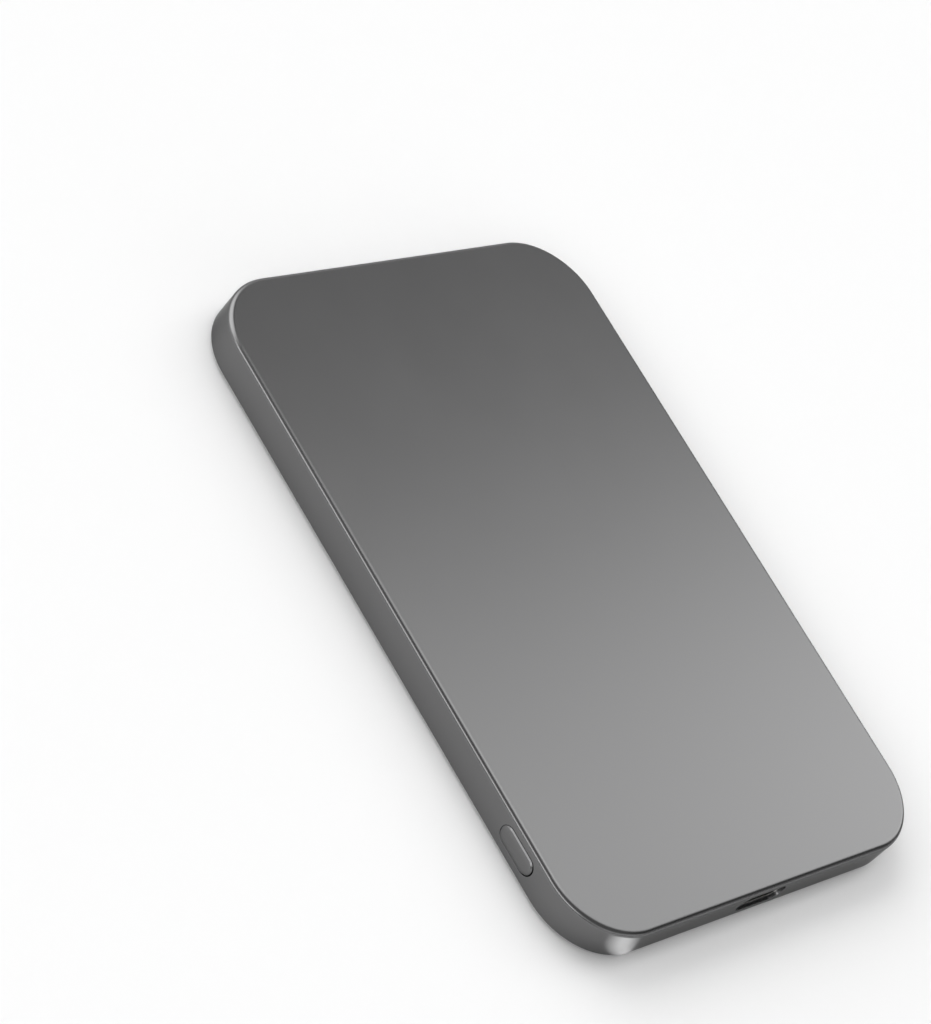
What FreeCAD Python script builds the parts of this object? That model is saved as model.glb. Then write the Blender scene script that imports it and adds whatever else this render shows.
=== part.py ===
import FreeCAD, Part
import math
import os
import re
import Sketcher

# Slim magnetic power bank, in millimetres. It lies on its magnetic rear face: +Z comes out of the metal
# front, +Y points to the end with the magnet ring, -Y to the end with the charging socket, and the
# button sits in the -X wall. The origin is the middle of the rear face.

SIZES = [
    # Outer form
    ("width", 68.6),
    ("length", 101.8),
    ("thickness", 5.6),
    ("corner_radius", 10.6),
    ("edge_radius", 0.75),
    # Aluminium tray
    ("wall", 1.1),
    ("face", 0.7),
    ("foot_height", 0.5),
    ("rim_lip", 0.6),
    ("rim_rebate", 0.5),
    # Fits between pieces
    ("fit_gap", 0.1),
    ("key_gap", 0.12),
    ("board_gap", 0.4),
    # Rear cover and its bonding ring
    ("cover_floor", 0.65),
    ("cover_edge", 0.3),
    ("adhesive_thick", 0.1),
    ("hook_length", 5.0),
    ("hook_thick", 0.6),
    ("hook_sill", 0.7),
    ("hook_barb", 0.25),
    ("hook_barb_height", 0.5),
    ("hook_margin", 8.0),
    ("well_wall", 0.6),
    ("well_height", 0.75),
    ("well_span", 36.0),
    # Inner frame
    ("frame_wall", 0.9),
    ("rib_thick", 0.8),
    ("boss_radius", 1.7),
    ("boss_inset", 2.4),
    ("boss_spacing", 40.0),
    # Button
    ("key_length", 6.9),
    ("key_height", 2.7),
    ("key_from_end", 16.4),
    ("key_z", 2.9),
    ("key_proud", 0.25),
    ("key_edge", 0.2),
    ("key_rim", 0.5),
    ("key_flange", 0.5),
    ("key_nub", 0.5),
    ("key_travel", 0.25),
    # Side-push switch
    ("switch_length", 4.6),
    ("switch_depth", 3.0),
    ("switch_height", 1.7),
    ("plunger_length", 1.6),
    ("plunger_height", 0.9),
    ("plunger_out", 0.6),
    ("plunger_in", 0.8),
    ("terminal_reach", 1.0),
    ("terminal_width", 1.4),
    ("terminal_thick", 0.15),
    # Charging socket
    ("socket_z", 3.05),
    ("socket_width", 8.94),
    ("socket_height", 3.16),
    ("socket_wall", 0.3),
    ("socket_depth", 7.35),
    ("socket_recess", 0.5),
    ("socket_chamfer", 0.15),
    ("socket_base", 1.2),
    ("leg_reach", 1.5),
    ("leg_width", 1.1),
    ("leg_thick", 0.25),
    ("leg_pitch", 3.2),
    ("tongue_width", 6.69),
    ("tongue_thick", 0.7),
    ("tongue_setback", 0.6),
    ("tongue_corner", 0.4),
    ("contact_count", 12),
    ("contact_pitch", 0.5),
    ("contact_width", 0.25),
    ("contact_thick", 0.08),
    ("contact_length", 3.6),
    ("contact_setback", 0.5),
    # Circuit board and what is soldered to it
    ("board_thick", 0.8),
    ("board_length", 18.7),
    ("charge_chip_size", 5.0),
    ("driver_chip_size", 4.5),
    ("chip_thick", 0.85),
    ("inductor_size", 7.0),
    ("inductor_thick", 1.2),
    ("inductor_corner", 0.6),
    ("transistor_size", 3.3),
    ("transistor_thick", 0.8),
    ("transistor_pitch", 4.4),
    ("capacitor_length", 3.2),
    ("capacitor_width", 1.6),
    ("capacitor_thick", 1.25),
    ("capacitor_pitch", 2.6),
    # Board screws
    ("screw_radius", 0.7),
    ("screw_reach", 1.3),
    ("screw_head_radius", 1.3),
    ("screw_head_height", 0.6),
    ("screw_gap", 0.05),
    # Battery cell, its tabs and tapes
    ("cell_gap", 0.3),
    ("cell_corner", 2.0),
    ("cell_edge", 0.6),
    ("cell_fold", 0.45),
    ("cell_fold_height", 2.2),
    ("terrace_depth", 3.2),
    ("terrace_thick", 0.9),
    ("tab_width", 4.0),
    ("tab_thick", 0.15),
    ("tab_spacing", 22.0),
    ("tab_overlap", 2.2),
    ("tape_thick", 0.15),
    ("tape_width", 14.0),
    ("tape_length", 60.0),
    ("tape_inset", 14.9),
    # Coil, ferrite and heat spreader
    ("coil_inner", 10.3),
    ("coil_thick", 0.5),
    ("lead_gap", 1.6),
    ("lead_width", 1.2),
    ("lead_thick", 0.4),
    ("lead_bend", 1.3),
    ("ferrite_radius", 22.2),
    ("ferrite_margin", 0.9),
    ("ferrite_thick", 0.45),
    ("spreader_thick", 0.1),
    ("spreader_side", 0.05),
    ("spreader_end", 2.6),
    # Magnets
    ("magnet_width", 4.6),
    ("magnet_thick", 0.9),
    ("magnet_sink", 0.3),
    ("magnet_count", 16),
    ("magnet_air", 0.6),
    ("ring_margin", 0.85),
    ("yoke_thick", 0.25),
    ("align_width", 6.0),
    ("align_length", 6.0),
    ("align_count", 3),
    ("align_from_ring", 1.3),
]

doc = FreeCAD.newDocument("magnetic_power_bank")
sheet = doc.addObject("Spreadsheet::Sheet", "sizes")
for row, (size_name, size_value) in enumerate(SIZES, start=1):
    sheet.set(f"A{row}", size_name)
    sheet.set(f"B{row}", str(size_value))
    sheet.setAlias(f"B{row}", size_name)
doc.recompute()

# Formulas that several pieces share, written with the names of the sizes

# Plan sizes from the outside in: tray cavity, frame, bay inside the frame
CAVITY = ("(width - 2 * wall)", "(length - 2 * wall)", "(corner_radius - wall)")
FRAME = tuple(f"({side} - {n} * fit_gap)" for side, n in zip(CAVITY, (2, 2, 1)))
BAY = tuple(f"({side} - {n} * frame_wall)" for side, n in zip(FRAME, (2, 2, 1)))
REBATE = ("(width - 2 * rim_lip)", "(length - 2 * rim_lip)", "(corner_radius - rim_lip)")
COVER = tuple(f"({side} - {n} * fit_gap)" for side, n in zip(REBATE, (2, 2, 1)))
BOARD = tuple(f"({side} - {n} * board_gap)" for side, n in zip(BAY, (2, 2, 1)))

# Heights from the rear face up
LEDGE_Z = "(foot_height + rim_rebate)"
BORDER_Z = f"({LEDGE_Z} - adhesive_thick)"
ROOF_Z = "(thickness - face)"
FRAME_TOP = f"({ROOF_Z} - fit_gap)"
BOARD_LOW = "(socket_z - board_thick / 2)"
BOARD_TOP = "(socket_z + board_thick / 2)"
COIL_TOP = "(cover_floor + coil_thick)"
FERRITE_TOP = f"({COIL_TOP} + ferrite_thick)"
MAGNET_LOW = "(cover_floor - magnet_sink)"
MAGNET_TOP = f"({MAGNET_LOW} + magnet_thick)"
YOKE_TOP = f"({MAGNET_TOP} + yoke_thick)"
SPREADER_LOW = f"max({FERRITE_TOP}; {YOKE_TOP})"
SPREADER_TOP = f"({SPREADER_LOW} + spreader_thick)"
CELL_LOW = f"({SPREADER_TOP} + fit_gap)"
CELL_TOP = f"({ROOF_Z} - tape_thick)"

# Places along the length: board bay, rib, cell bay
BOARD_FOOT = f"(-{BOARD[1]} / 2)"
BOARD_END = f"({BOARD_FOOT} + board_length)"
RIB_LOW = f"({BOARD_END} + board_gap)"
RIB_HIGH = f"({RIB_LOW} + rib_thick)"
CELL_FOOT = f"({RIB_HIGH} + cell_gap)"

# Snap hooks stand just inside the frame, and the cell lies between them
HOOK_OUT = f"({BAY[0]} / 2 - fit_gap)"
HOOK_IN = f"({HOOK_OUT} - hook_thick)"
WINDOW_LOW = f"({LEDGE_Z} + hook_sill)"
BARB_LOW = f"({WINDOW_LOW} + fit_gap)"
HOOK_TOP = f"({BARB_LOW} + hook_barb_height)"
WINDOW_HIGH = f"({HOOK_TOP} + fit_gap)"
HOOK_FIRST = f"({RIB_HIGH} + hook_margin)"
HOOK_LAST = f"({BAY[1]} / 2 - {BAY[2]} - hook_margin)"
HOOK_PITCH = f"(({HOOK_LAST} - {HOOK_FIRST}) / 2)"
CELL_WIDTH = f"(2 * ({HOOK_IN} - cell_gap))"

# The cell's square end stops where the bay's round corners leave its full width
CORNER_RUN = f"({BAY[2]} - fit_gap - hook_thick - cell_gap)"
CELL_END = f"({BAY[1]} / 2 - {BAY[2]} + sqrt({BAY[2]}^2 - {CORNER_RUN}^2) - cell_gap)"

# Button: its place along the wall, measured from the socket end, and its places from the outside in
KEY_Y = "(-length / 2 + key_from_end)"
KEY_OUT = "(-width / 2 - key_proud)"
FLANGE_OUT = "(-width / 2 + wall)"
FLANGE_IN = f"({FLANGE_OUT} + key_flange)"
NUB_END = f"({FLANGE_IN} + key_nub)"
SWITCH_FACE = f"({NUB_END} + plunger_out)"
SWITCH_BACK = f"({SWITCH_FACE} + switch_depth)"
FLANGE_LENGTH = "(key_length + 2 * key_rim)"
FLANGE_HEIGHT = "(key_height + 2 * key_rim)"

# Charging socket along the length
SOCKET_FRONT = "(-length / 2 + socket_recess)"
SOCKET_BACK = f"({SOCKET_FRONT} + socket_depth)"
BASE_FRONT = f"({SOCKET_BACK} - socket_base)"
TONGUE_FRONT = f"({SOCKET_FRONT} + tongue_setback)"

# The board is screwed down on two bosses by the end wall
BOSSES = [(f"{side}boss_spacing / 2", f"(-{BAY[1]} / 2 + boss_inset)") for side in ("-", "")]

# Coil, magnets and leads in plan: the coil lies under the ferrite, the magnets round the coil's well,
# and the leads pass both sides of the alignment magnets through the opening of the ring
COIL_OUT = "(ferrite_radius - ferrite_margin)"
WELL_IN = "(ferrite_radius + fit_gap)"
WELL_OUT = f"({WELL_IN} + well_wall)"
MAGNET_IN = f"({WELL_OUT} + 3 * fit_gap)"
MAGNET_OUT = f"({MAGNET_IN} + magnet_width)"
RING_Y = f"({BAY[1]} / 2 - {MAGNET_OUT} - ring_margin)"
LEAD_X = "(align_width / 2 + lead_gap)"
RING_OPENING = f"(2 * asin(({LEAD_X} + lead_gap * 0.75) / {MAGNET_IN}) / 1.0 deg)"


def bind(formula):
    """The formula with every size name pointing at its cell in the sheet."""
    return re.sub(r"\b(?!deg\b)[a-z_]+\b(?!\()", lambda word: "sizes." + word.group(), formula)


def value(formula):
    return float(sheet.evalExpression(bind(formula)))


def new_body(label):
    body = doc.addObject("PartDesign::Body", label)
    body.Label = label
    return body


def origin_feature(body, role):
    return next(item for item in body.Origin.OriginFeatures if item.Role == role)


def sketch_on(body, name, plane, height="0", origin=("0", "0")):
    """An empty sketch on one of the body's origin planes, shifted along and across its normal.

    XY looks along +Z; XZ has X and Z as its axes and -Y as its normal; YZ has Y, Z and +X.
    """
    sketch = body.newObject("Sketcher::SketchObject", f"{body.Name}_{name}_sketch")
    sketch.AttachmentSupport = [(origin_feature(body, f"{plane}_Plane"), "")]
    sketch.MapMode = "FlatFace"
    for axis, formula in zip("xyz", (*origin, height)):
        sketch.setExpression(f"AttachmentOffset.Base.{axis}", bind(formula))
    doc.recompute()
    return sketch


def measure(sketch, constraint, formula):
    """Add a dimension and tie it to a formula."""
    index = sketch.addConstraint(constraint)
    name = f"size_{index}"
    sketch.renameConstraint(index, name)
    sketch.setExpression(f"Constraints.{name}", bind(formula))


def polygon(sketch, corners):
    """A closed outline with straight sides through corners given as pairs of formulas."""
    first = sketch.GeometryCount
    points = [FreeCAD.Vector(value(x), value(y), 0) for x, y in corners]
    count = len(points)
    for index in range(count):
        sketch.addGeometry(Part.LineSegment(points[index], points[(index + 1) % count]))
    for index in range(count):
        sketch.addConstraint(
            Sketcher.Constraint("Coincident", first + index, 2, first + (index + 1) % count, 1)
        )
    for index, (x, y) in enumerate(corners):
        line = first + index
        measure(sketch, Sketcher.Constraint("DistanceX", -1, 1, line, 1, points[index].x), x)
        measure(sketch, Sketcher.Constraint("DistanceY", -1, 1, line, 1, points[index].y), y)


def rectangle(sketch, left, right, low, high):
    polygon(sketch, [(left, low), (right, low), (right, high), (left, high)])


def rounded_rectangle(sketch, wide, high, radius):
    """A rectangle with equal round corners, centred on the sketch's origin."""
    first = sketch.GeometryCount
    half_w, half_h, r = value(wide) / 2, value(high) / 2, value(radius)
    normal = FreeCAD.Vector(0, 0, 1)
    sides = [
        ((r - half_w, -half_h), (half_w - r, -half_h)),
        ((half_w, r - half_h), (half_w, half_h - r)),
        ((half_w - r, half_h), (r - half_w, half_h)),
        ((-half_w, half_h - r), (-half_w, r - half_h)),
    ]
    centres = [
        (half_w - r, r - half_h),
        (half_w - r, half_h - r),
        (r - half_w, half_h - r),
        (r - half_w, r - half_h),
    ]
    for start, end in sides:
        sketch.addGeometry(Part.LineSegment(FreeCAD.Vector(*start, 0), FreeCAD.Vector(*end, 0)))
    for turn, centre in enumerate(centres):
        circle = Part.Circle(FreeCAD.Vector(*centre, 0), normal, r)
        start = (turn - 1) * math.pi / 2
        sketch.addGeometry(Part.ArcOfCircle(circle, start, start + math.pi / 2))
    line = [first + index for index in range(4)]
    arc = [first + 4 + index for index in range(4)]
    for index in range(4):
        sketch.addConstraint(Sketcher.Constraint("Tangent", line[index], 2, arc[index], 1))
        sketch.addConstraint(Sketcher.Constraint("Tangent", arc[index], 2, line[(index + 1) % 4], 1))
        kind = "Horizontal" if index % 2 == 0 else "Vertical"
        sketch.addConstraint(Sketcher.Constraint(kind, line[index]))
    for index in range(1, 4):
        sketch.addConstraint(Sketcher.Constraint("Equal", arc[0], arc[index]))
    sketch.addConstraint(Sketcher.Constraint("Symmetric", line[0], 1, line[2], 1, -1, 1))
    measure(sketch, Sketcher.Constraint("Radius", arc[0], r), radius)
    measure(sketch, Sketcher.Constraint("DistanceX", line[3], 1, line[1], 1, 2 * half_w), wide)
    measure(sketch, Sketcher.Constraint("DistanceY", line[0], 1, line[2], 1, 2 * half_h), high)


def obround(sketch, wide, high):
    """A slot outline with round ends, lying along the sketch's x axis and centred on its origin."""
    first = sketch.GeometryCount
    r = value(high) / 2
    reach = value(wide) / 2 - r
    normal = FreeCAD.Vector(0, 0, 1)
    low, right, top, left = (first + index for index in range(4))
    sketch.addGeometry(Part.LineSegment(FreeCAD.Vector(-reach, -r, 0), FreeCAD.Vector(reach, -r, 0)))
    end = Part.Circle(FreeCAD.Vector(reach, 0, 0), normal, r)
    sketch.addGeometry(Part.ArcOfCircle(end, -math.pi / 2, math.pi / 2))
    sketch.addGeometry(Part.LineSegment(FreeCAD.Vector(reach, r, 0), FreeCAD.Vector(-reach, r, 0)))
    end = Part.Circle(FreeCAD.Vector(-reach, 0, 0), normal, r)
    sketch.addGeometry(Part.ArcOfCircle(end, math.pi / 2, 3 * math.pi / 2))
    for before, after in ((low, right), (right, top), (top, left), (left, low)):
        sketch.addConstraint(Sketcher.Constraint("Tangent", before, 2, after, 1))
    sketch.addConstraint(Sketcher.Constraint("Horizontal", low))
    sketch.addConstraint(Sketcher.Constraint("Equal", right, left))
    sketch.addConstraint(Sketcher.Constraint("Symmetric", right, 3, left, 3, -1, 1))
    measure(sketch, Sketcher.Constraint("DistanceX", left, 3, right, 3, 2 * reach), f"{wide} - {high}")
    measure(sketch, Sketcher.Constraint("Radius", right, r), f"{high} / 2")


def circle(sketch, radius):
    index = sketch.addGeometry(Part.Circle(FreeCAD.Vector(), FreeCAD.Vector(0, 0, 1), value(radius)))
    sketch.addConstraint(Sketcher.Constraint("Coincident", index, 3, -1, 1))
    measure(sketch, Sketcher.Constraint("Radius", index, value(radius)), radius)


def ring_sector(sketch, inner, outer, span):
    """A piece of a flat ring about the sketch's origin, even on both sides of its y axis."""
    half = math.radians(value(span)) / 2
    start, end = math.pi / 2 - half, math.pi / 2 + half
    normal = FreeCAD.Vector(0, 0, 1)

    def on_ring(radius, angle):
        return FreeCAD.Vector(radius * math.cos(angle), radius * math.sin(angle), 0)

    near, far = value(inner), value(outer)
    sketch.addGeometry(Part.ArcOfCircle(Part.Circle(FreeCAD.Vector(), normal, far), start, end))
    sketch.addGeometry(Part.LineSegment(on_ring(far, end), on_ring(near, end)))
    sketch.addGeometry(Part.ArcOfCircle(Part.Circle(FreeCAD.Vector(), normal, near), start, end))
    sketch.addGeometry(Part.LineSegment(on_ring(near, start), on_ring(far, start)))
    for joint in ((0, 2, 1, 1), (1, 2, 2, 2), (2, 1, 3, 1), (3, 2, 0, 1), (0, 3, -1, 1), (2, 3, -1, 1)):
        sketch.addConstraint(Sketcher.Constraint("Coincident", *joint))
    for line in (1, 3):
        sketch.addConstraint(Sketcher.Constraint("PointOnObject", -1, 1, line))
    sketch.addConstraint(Sketcher.Constraint("Symmetric", 0, 1, 0, 2, -2))
    measure(sketch, Sketcher.Constraint("Radius", 0, far), outer)
    measure(sketch, Sketcher.Constraint("Radius", 2, near), inner)
    measure(sketch, Sketcher.Constraint("Angle", 3, 1, 1, 2, 2 * half), f"{span} * 1.0 deg")


def body_of(sketch):
    return sketch.getParentGeoFeatureGroup()


def pad(sketch, depth, reverse=False, symmetric=False):
    """Solid from a sketch along its normal, or against it, or to both sides."""
    feature = body_of(sketch).newObject("PartDesign::Pad", sketch.Name.replace("_sketch", ""))
    feature.Profile = sketch
    feature.setExpression("Length", bind(depth))
    feature.Reversed = reverse
    if symmetric:
        feature.SideType = "Symmetric"
    doc.recompute()
    return feature


def pocket(sketch, depth, reverse=False, symmetric=False):
    """Cut from a sketch against its normal, or along it if reversed, or to both sides."""
    body = body_of(sketch)
    before = body.Shape.Volume
    feature = body.newObject("PartDesign::Pocket", sketch.Name.replace("_sketch", ""))
    feature.Profile = sketch
    feature.setExpression("Length", bind(depth))
    feature.Reversed = reverse
    if symmetric:
        feature.SideType = "Symmetric"
    doc.recompute()
    if body.Shape.Volume > before - 1e-6:
        raise RuntimeError(f"{feature.Name} cuts nothing")
    return feature


def edges_in(feature, **limits):
    """Names of the feature's edges that lie wholly inside limits such as z=(low, high)."""
    found = []
    for index, edge in enumerate(feature.Shape.Edges, start=1):
        box = edge.BoundBox
        spans = {"x": (box.XMin, box.XMax), "y": (box.YMin, box.YMax), "z": (box.ZMin, box.ZMax)}
        if all(
            spans[axis][0] > low - 1e-4 and spans[axis][1] < high + 1e-4
            for axis, (low, high) in limits.items()
        ):
            found.append(f"Edge{index}")
    return found


def soften(feature, name, size, kind="Fillet", **limits):
    """Round or chamfer the edges of a feature that lie inside the limits."""
    edges = edges_in(feature, **limits)
    if not edges:
        raise RuntimeError(f"{name} finds no edge")
    body = feature.getParentGeoFeatureGroup()
    made = body.newObject(f"PartDesign::{kind}", f"{body.Name}_{name}")
    made.Base = (feature, edges)
    made.setExpression("Radius" if kind == "Fillet" else "Size", bind(size))
    doc.recompute()
    return made


def flat(formula):
    """The limits of a plane, for picking the edges in it."""
    return value(formula), value(formula)


def block(label, centre, size, low):
    """A plain block on a level, given by its middle, its size in x, y and z and its underside."""
    made = doc.addObject("Part::Box", label)
    made.Label = label
    for side, formula in zip(("Length", "Width", "Height"), size):
        made.setExpression(side, bind(formula))
    made.setExpression("Placement.Base.x", bind(f"{centre[0]} - {size[0]} / 2"))
    made.setExpression("Placement.Base.y", bind(f"{centre[1]} - {size[1]} / 2"))
    made.setExpression("Placement.Base.z", bind(low))
    doc.recompute()
    return made


parts = []

# Front shell: one aluminium tray, face and four walls, with a rounded front edge. A rebate inside the
# rear edge takes the cover; the button slot and the socket opening are milled through the walls.
shell = new_body("front_shell")
outline = sketch_on(shell, "outline", "XY", "foot_height")
rounded_rectangle(outline, "width", "length", "corner_radius")
form = pad(outline, "thickness - foot_height")
form = soften(form, "front_edge", "edge_radius", z=flat("thickness"))
cavity = sketch_on(shell, "cavity", "XY", "foot_height")
rounded_rectangle(cavity, *CAVITY)
form = pocket(cavity, f"{ROOF_Z} - foot_height", reverse=True)
rebate = sketch_on(shell, "rebate", "XY", "foot_height")
rounded_rectangle(rebate, *REBATE)
form = pocket(rebate, "rim_rebate", reverse=True)
slot = sketch_on(shell, "button_slot", "YZ", "-width / 2", (KEY_Y, "key_z"))
obround(slot, "(key_length + 2 * key_gap)", "(key_height + 2 * key_gap)")
form = pocket(slot, "wall + fit_gap", reverse=True)
opening = sketch_on(shell, "socket_opening", "XZ", "length / 2", ("0", "socket_z"))
obround(opening, "(socket_width + 2 * fit_gap)", "(socket_height + 2 * fit_gap)")
form = pocket(opening, "wall + fit_gap")
mouth = value("socket_width / 2 + 2 * fit_gap")
form = soften(
    form, "socket_rim", "socket_chamfer", "Chamfer",
    y=flat("-length / 2"), x=(-mouth, mouth), z=(value("foot_height") + 0.2, value(ROOF_Z)),
)
parts.append(shell)

# Inner frame: a moulded bracket bonded inside the tray. It insulates the walls, holds the board on
# two bosses and parts the board bay from the cell bay with a rib; the cover's hooks snap into it.
frame = new_body("inner_frame")
ring = sketch_on(frame, "ring", "XY", LEDGE_Z)
rounded_rectangle(ring, *FRAME)
rounded_rectangle(ring, *BAY)
form = pad(ring, f"{FRAME_TOP} - {LEDGE_Z}")
rib = sketch_on(frame, "rib", "XY", CELL_LOW)
rectangle(rib, f"-{BAY[0]} / 2 - frame_wall / 2", f"{BAY[0]} / 2 + frame_wall / 2", RIB_LOW, RIB_HIGH)
form = pad(rib, f"{FRAME_TOP} - {CELL_LOW}")
for number, place in enumerate(BOSSES, start=1):
    boss = sketch_on(frame, f"boss_{number}", "XY", BOARD_TOP, place)
    circle(boss, "boss_radius")
    form = pad(boss, f"{FRAME_TOP} - {BOARD_TOP}")
    web = sketch_on(frame, f"web_{number}", "XY", BOARD_TOP, place)
    rectangle(web, "-boss_radius", "boss_radius", "-boss_inset - frame_wall / 2", "0")
    form = pad(web, f"{FRAME_TOP} - {BOARD_TOP}")
    hole = sketch_on(frame, f"screw_hole_{number}", "XY", BOARD_TOP, place)
    circle(hole, "(screw_radius + screw_gap)")
    form = pocket(hole, "screw_reach + fit_gap", reverse=True)
key_gate = sketch_on(frame, "key_gate", "YZ", f"-{FRAME[0]} / 2")
half = f"({FLANGE_LENGTH} / 2 + key_gap)"
gate_top = f"key_z + {FLANGE_HEIGHT} / 2 + key_gap"
rectangle(key_gate, f"{KEY_Y} - {half}", f"{KEY_Y} + {half}", LEDGE_Z, gate_top)
form = pocket(key_gate, "frame_wall", reverse=True)
socket_gate = sketch_on(frame, "socket_gate", "XZ", f"{FRAME[1]} / 2")
gate = "(socket_width / 2 + board_gap)"
rectangle(socket_gate, f"-{gate}", gate, LEDGE_Z, "(socket_z + socket_height / 2 + fit_gap)")
form = pocket(socket_gate, "frame_wall")
hook_windows = sketch_on(frame, "hook_windows", "YZ")
for number in range(3):
    middle = f"({HOOK_FIRST} + {number} * {HOOK_PITCH})"
    half = "(hook_length / 2 + board_gap)"
    rectangle(hook_windows, f"{middle} - {half}", f"{middle} + {half}", WINDOW_LOW, WINDOW_HIGH)
form = pocket(hook_windows, FRAME[0], symmetric=True)
tab_gates = sketch_on(frame, "tab_gates", "XZ", f"-{RIB_HIGH}")
for side in ("-", ""):
    half = "(tab_width / 2 + board_gap)"
    middle = f"{side}tab_spacing / 2"
    rectangle(
        tab_gates, f"{middle} - {half}", f"{middle} + {half}",
        f"{BOARD_TOP} - fit_gap", f"{BOARD_TOP} + tab_thick + board_gap",
    )
form = pocket(tab_gates, "rib_thick", reverse=True)
parts.append(frame)

# Rear cover: one dark moulding set into the tray's rebate. Its thicker border is bonded to tray and
# frame; inside it has a groove for the magnets, three arc ribs round the coil and six snap hooks.
cover = new_body("rear_cover")
outline = sketch_on(cover, "outline", "XY")
rounded_rectangle(outline, *COVER)
form = pad(outline, BORDER_Z)
form = soften(form, "rear_edge", "cover_edge", "Chamfer", z=flat("0"))
inside = sketch_on(cover, "inside", "XY", BORDER_Z)
rounded_rectangle(inside, *BAY)
form = pocket(inside, f"{BORDER_Z} - cover_floor")
well = sketch_on(cover, "well_rib", "XY", "cover_floor", ("0", RING_Y))
ring_sector(well, WELL_IN, WELL_OUT, "well_span")
well_rib = pad(well, "well_height")
well_ribs = cover.newObject("PartDesign::PolarPattern", "rear_cover_well_ribs")
well_ribs.Originals = [well_rib]
well_ribs.Axis = (well, ["N_Axis"])
well_ribs.Angle = 360
well_ribs.Occurrences = 3
cover.Tip = well_ribs
doc.recompute()
groove = sketch_on(cover, "magnet_groove", "XY", "cover_floor", ("0", RING_Y))
circle(groove, f"({MAGNET_IN} - fit_gap)")
circle(groove, f"({MAGNET_OUT} + fit_gap)")
form = pocket(groove, "magnet_sink")
ALIGN_TOP = f"({RING_Y} - {MAGNET_OUT} - align_from_ring)"
ALIGN_PITCH = "(align_length + fit_gap)"
slot = sketch_on(cover, "alignment_slot", "XY", "cover_floor")
rectangle(
    slot, "-align_width / 2 - fit_gap", "align_width / 2 + fit_gap",
    f"{ALIGN_TOP} - align_count * {ALIGN_PITCH}", f"{ALIGN_TOP} + fit_gap",
)
form = pocket(slot, "magnet_sink")
hooks = sketch_on(cover, "hooks", "XZ", f"-{HOOK_FIRST}")
for side in ("-", ""):
    polygon(hooks, [
        (f"{side}{HOOK_IN}", "cover_floor"),
        (f"{side}{HOOK_OUT}", "cover_floor"),
        (f"{side}{HOOK_OUT}", BARB_LOW),
        (f"{side}({HOOK_OUT} + hook_barb)", BARB_LOW),
        (f"{side}{HOOK_OUT}", HOOK_TOP),
        (f"{side}{HOOK_IN}", HOOK_TOP),
    ])
hook_pair = pad(hooks, "hook_length", symmetric=True)
hook_row = cover.newObject("PartDesign::LinearPattern", "rear_cover_hook_row")
hook_row.Originals = [hook_pair]
hook_row.Direction = (origin_feature(cover, "Y_Axis"), [""])
hook_row.setExpression("Length", bind(f"2 * {HOOK_PITCH}"))
hook_row.Occurrences = 3
cover.Tip = hook_row
parts.append(cover)

# Bonding ring: die-cut adhesive between the cover's border and the tray's and frame's rear edges
bond = new_body("cover_adhesive")
ring = sketch_on(bond, "ring", "XY", BORDER_Z)
rounded_rectangle(ring, *COVER)
rounded_rectangle(ring, *BAY)
pad(ring, "adhesive_thick")
parts.append(bond)

# Power button: a milled aluminium key with a flange behind the wall and a nub for the switch
button = new_body("power_button")
flange = sketch_on(button, "flange", "YZ", FLANGE_OUT, (KEY_Y, "key_z"))
obround(flange, FLANGE_LENGTH, FLANGE_HEIGHT)
form = pad(flange, "key_flange")
key = sketch_on(button, "key", "YZ", KEY_OUT, (KEY_Y, "key_z"))
obround(key, "key_length", "key_height")
form = pad(key, f"{FLANGE_OUT} - {KEY_OUT}")
form = soften(form, "key_edge", "key_edge", "Chamfer", x=flat(KEY_OUT))
nub = sketch_on(button, "nub", "YZ", FLANGE_IN, (KEY_Y, "key_z"))
obround(nub, "plunger_length * 1.5", "plunger_height * 1.5")
form = pad(nub, "key_nub")
parts.append(button)

# Side-push switch: a moulded block sunk into a notch of the board, with two soldered terminals
switch = new_body("switch_body")
case = sketch_on(switch, "case", "YZ", SWITCH_FACE, (KEY_Y, "key_z"))
half_l, half_h = "switch_length / 2", "switch_height / 2"
rectangle(case, f"-{half_l}", half_l, f"-{half_h}", half_h)
form = pad(case, "switch_depth")
bore = sketch_on(switch, "bore", "YZ", SWITCH_FACE, (KEY_Y, "key_z"))
half_l, half_h = "(plunger_length / 2 + key_gap)", "(plunger_height / 2 + key_gap)"
rectangle(bore, f"-{half_l}", half_l, f"-{half_h}", half_h)
form = pocket(bore, "plunger_in + key_travel + key_gap", reverse=True)
terminals = sketch_on(switch, "terminals", "XY", BOARD_TOP, ("0", KEY_Y))
half_l = "(switch_length / 2 + terminal_reach)"
middle = f"({SWITCH_FACE} + switch_depth / 2)"
rectangle(
    terminals, f"{middle} - terminal_width / 2", f"{middle} + terminal_width / 2",
    f"-{half_l}", half_l,
)
form = pad(terminals, "terminal_thick")
parts.append(switch)

# Switch plunger: the small moulded slide between the button's nub and the switch dome
plunger = new_body("switch_plunger")
stem = sketch_on(plunger, "stem", "YZ", NUB_END, (KEY_Y, "key_z"))
half_l, half_h = "plunger_length / 2", "plunger_height / 2"
rectangle(stem, f"-{half_l}", half_l, f"-{half_h}", half_h)
pad(stem, "plunger_out + plunger_in")
parts.append(plunger)

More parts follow.
